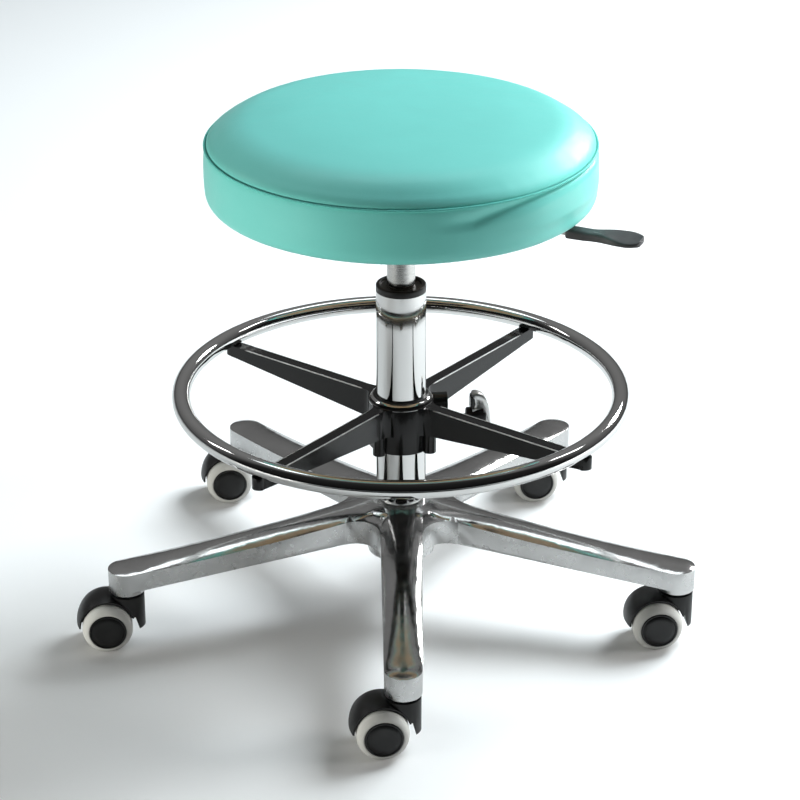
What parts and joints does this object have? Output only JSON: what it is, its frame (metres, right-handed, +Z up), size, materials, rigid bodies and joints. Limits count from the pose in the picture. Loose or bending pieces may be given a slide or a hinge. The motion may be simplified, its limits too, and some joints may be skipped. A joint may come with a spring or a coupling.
{
  "type": "dentist stool",
  "caption": "Height-adjustable dentist stool: round turquoise padded seat on a gas-spring column with a sliding foot ring, and a polished star base on twin-wheel casters.",
  "frame": {"origin": "on the column's axis at floor level, under the tyres", "axes": "+Z up along the column, -Y towards the front leg, +X to the right, on the side of the height lever"},
  "size_m": [0.6183, 0.5829, 0.526],
  "materials": {
    "cast_aluminium": "polished cast aluminium",
    "chrome": "chrome plated, mirror bright",
    "satin_steel": "fine ground steel",
    "zinc_steel": "zinc plated",
    "black_nylon": "moulded nylon, fine satin grain",
    "black_gloss_plastic": "gloss moulded plastic",
    "black_gloss_paint": "gloss black stove enamel",
    "black_paint": "satin black powder coat",
    "black_rubber": "matt",
    "grey_tyre": "soft grey polyurethane tread",
    "plywood": "raw plywood",
    "foam": "upholstery foam",
    "vinyl": "smooth turquoise upholstery vinyl",
    "vinyl_thread": "turned seam with stitching"
  },
  "bodies": {
    "base": {"star_base": "cast_aluminium", "caster_stems": "zinc_steel", "column_tube": "chrome", "guide_sleeve": "black_nylon", "thrust_bearing": "zinc_steel"},
    "gas_rod": {"piston_rod": "satin_steel", "rod_clip": "zinc_steel", "rubber_buffer": "black_rubber", "piston": "black_nylon"},
    "seat": {"gas_cylinder": "satin_steel", "rod_guide": "black_nylon", "valve_body": "zinc_steel", "taper_socket": "black_paint", "mounting_plate": "black_paint", "plate_screws": "zinc_steel", "lever_pivot_pin": "zinc_steel", "seat_board": "plywood", "seat_foam": "foam", "seat_band": "vinyl", "seat_piping": "vinyl_thread", "seat_cover_top": "vinyl"},
    "release_button": {"release_pin": "zinc_steel"},
    "height_lever": {"lever_rod": "satin_steel", "lever_handle": "black_gloss_plastic"},
    "ring_sleeve": {"spider_liner": "black_nylon"},
    "foot_rest": {"foot_ring": "chrome", "ring_spider": "black_gloss_paint", "ring_screws": "zinc_steel"},
    "ring_clamp": {"clamp_bolt": "black_nylon", "clamp_lever": "chrome"},
    "caster_1": {"caster_1_hood": "black_nylon", "caster_1_axle": "zinc_steel"},
    "caster_1_left": {"caster_1_left_wheel": "black_nylon", "caster_1_left_tyre": "grey_tyre"},
    "caster_1_right": {"caster_1_right_wheel": "black_nylon", "caster_1_right_tyre": "grey_tyre"},
    "caster_2": {"caster_2_hood": "black_nylon", "caster_2_axle": "zinc_steel"},
    "caster_2_left": {"caster_2_left_wheel": "black_nylon", "caster_2_left_tyre": "grey_tyre"},
    "caster_2_right": {"caster_2_right_wheel": "black_nylon", "caster_2_right_tyre": "grey_tyre"},
    "caster_3": {"caster_3_hood": "black_nylon", "caster_3_axle": "zinc_steel"},
    "caster_3_left": {"caster_3_left_wheel": "black_nylon", "caster_3_left_tyre": "grey_tyre"},
    "caster_3_right": {"caster_3_right_wheel": "black_nylon", "caster_3_right_tyre": "grey_tyre"},
    "caster_4": {"caster_4_hood": "black_nylon", "caster_4_axle": "zinc_steel"},
    "caster_4_left": {"caster_4_left_wheel": "black_nylon", "caster_4_left_tyre": "grey_tyre"},
    "caster_4_right": {"caster_4_right_wheel": "black_nylon", "caster_4_right_tyre": "grey_tyre"},
    "caster_5": {"caster_5_hood": "black_nylon", "caster_5_axle": "zinc_steel"},
    "caster_5_left": {"caster_5_left_wheel": "black_nylon", "caster_5_left_tyre": "grey_tyre"},
    "caster_5_right": {"caster_5_right_wheel": "black_nylon", "caster_5_right_tyre": "grey_tyre"}
  },
  "joints": [
    {"name": "seat_swivel", "type": "hinge", "parent": "base", "child": "gas_rod", "pos_m": [0, 0, 0.071], "axis": [0, 0, 1], "continuous": true},
    {"name": "seat_height", "type": "slide", "parent": "gas_rod", "child": "seat", "axis": [0, 0, 1], "range_m": [-0.03, 0.1]},
    {"name": "lever_lift", "type": "hinge", "parent": "seat", "child": "height_lever", "pos_m": [0.05024, -0.02237, 0.432], "axis": [-0.4067, -0.9135, 0], "range_deg": [0, 2.86], "stiffness_Nm_per_rad": 6, "springref_deg": -3.44},
    {"name": "release_press", "type": "slide", "parent": "seat", "child": "release_button", "axis": [0, 0, 1], "range_m": [-0.003, 0]},
    {"name": "ring_height", "type": "slide", "parent": "base", "child": "ring_sleeve", "axis": [0, 0, 1], "range_m": [-0.045, 0.1]},
    {"name": "ring_turn", "type": "hinge", "parent": "ring_sleeve", "child": "foot_rest", "pos_m": [0, 0, 0.2], "axis": [0, 0, 1], "continuous": true},
    {"name": "clamp_turn", "type": "hinge", "parent": "foot_rest", "child": "ring_clamp", "pos_m": [0.03968, 0.00508, 0.2027], "axis": [0.9919, 0.1271, 0], "range_deg": [0, 75]},
    {"name": "caster_1_swivel", "type": "hinge", "parent": "base", "child": "caster_1", "pos_m": [0, -0.2885, 0.055], "axis": [0, 0, 1], "continuous": true},
    {"name": "caster_1_left_spin", "type": "hinge", "parent": "caster_1", "child": "caster_1_left", "pos_m": [-0.02089, -0.2907, 0.025], "axis": [0.1045, -0.9945, 0], "continuous": true},
    {"name": "caster_1_right_spin", "type": "hinge", "parent": "caster_1", "child": "caster_1_right", "pos_m": [-0.02089, -0.2907, 0.025], "axis": [0.1045, -0.9945, 0], "continuous": true},
    {"name": "caster_2_swivel", "type": "hinge", "parent": "base", "child": "caster_2", "pos_m": [0.27438, -0.08915, 0.055], "axis": [0, 0, 1], "continuous": true},
    {"name": "caster_2_left_spin", "type": "hinge", "parent": "caster_2", "child": "caster_2_left", "pos_m": [0.25349, -0.09135, 0.025], "axis": [0.1045, -0.9945, 0], "continuous": true},
    {"name": "caster_2_right_spin", "type": "hinge", "parent": "caster_2", "child": "caster_2_right", "pos_m": [0.25349, -0.09135, 0.025], "axis": [0.1045, -0.9945, 0], "continuous": true},
    {"name": "caster_3_swivel", "type": "hinge", "parent": "base", "child": "caster_3", "pos_m": [0.16958, 0.2334, 0.055], "axis": [0, 0, 1], "continuous": true},
    {"name": "caster_3_left_spin", "type": "hinge", "parent": "caster_3", "child": "caster_3_left", "pos_m": [0.14869, 0.23121, 0.025], "axis": [0.1045, -0.9945, 0], "continuous": true},
    {"name": "caster_3_right_spin", "type": "hinge", "parent": "caster_3", "child": "caster_3_right", "pos_m": [0.14869, 0.23121, 0.025], "axis": [0.1045, -0.9945, 0], "continuous": true},
    {"name": "caster_4_swivel", "type": "hinge", "parent": "base", "child": "caster_4", "pos_m": [-0.16958, 0.2334, 0.055], "axis": [0, 0, 1], "continuous": true},
    {"name": "caster_4_left_spin", "type": "hinge", "parent": "caster_4", "child": "caster_4_left", "pos_m": [-0.19046, 0.23121, 0.025], "axis": [0.1045, -0.9945, 0], "continuous": true},
    {"name": "caster_4_right_spin", "type": "hinge", "parent": "caster_4", "child": "caster_4_right", "pos_m": [-0.19046, 0.23121, 0.025], "axis": [0.1045, -0.9945, 0], "continuous": true},
    {"name": "caster_5_swivel", "type": "hinge", "parent": "base", "child": "caster_5", "pos_m": [-0.27438, -0.08915, 0.055], "axis": [0, 0, 1], "continuous": true},
    {"name": "caster_5_left_spin", "type": "hinge", "parent": "caster_5", "child": "caster_5_left", "pos_m": [-0.29526, -0.09135, 0.025], "axis": [0.1045, -0.9945, 0], "continuous": true},
    {"name": "caster_5_right_spin", "type": "hinge", "parent": "caster_5", "child": "caster_5_right", "pos_m": [-0.29526, -0.09135, 0.025], "axis": [0.1045, -0.9945, 0], "continuous": true}
  ],
  "couplings": [
    {"joint": "release_press", "follows": "lever_lift", "m_per_rad": -0.055}
  ]
}
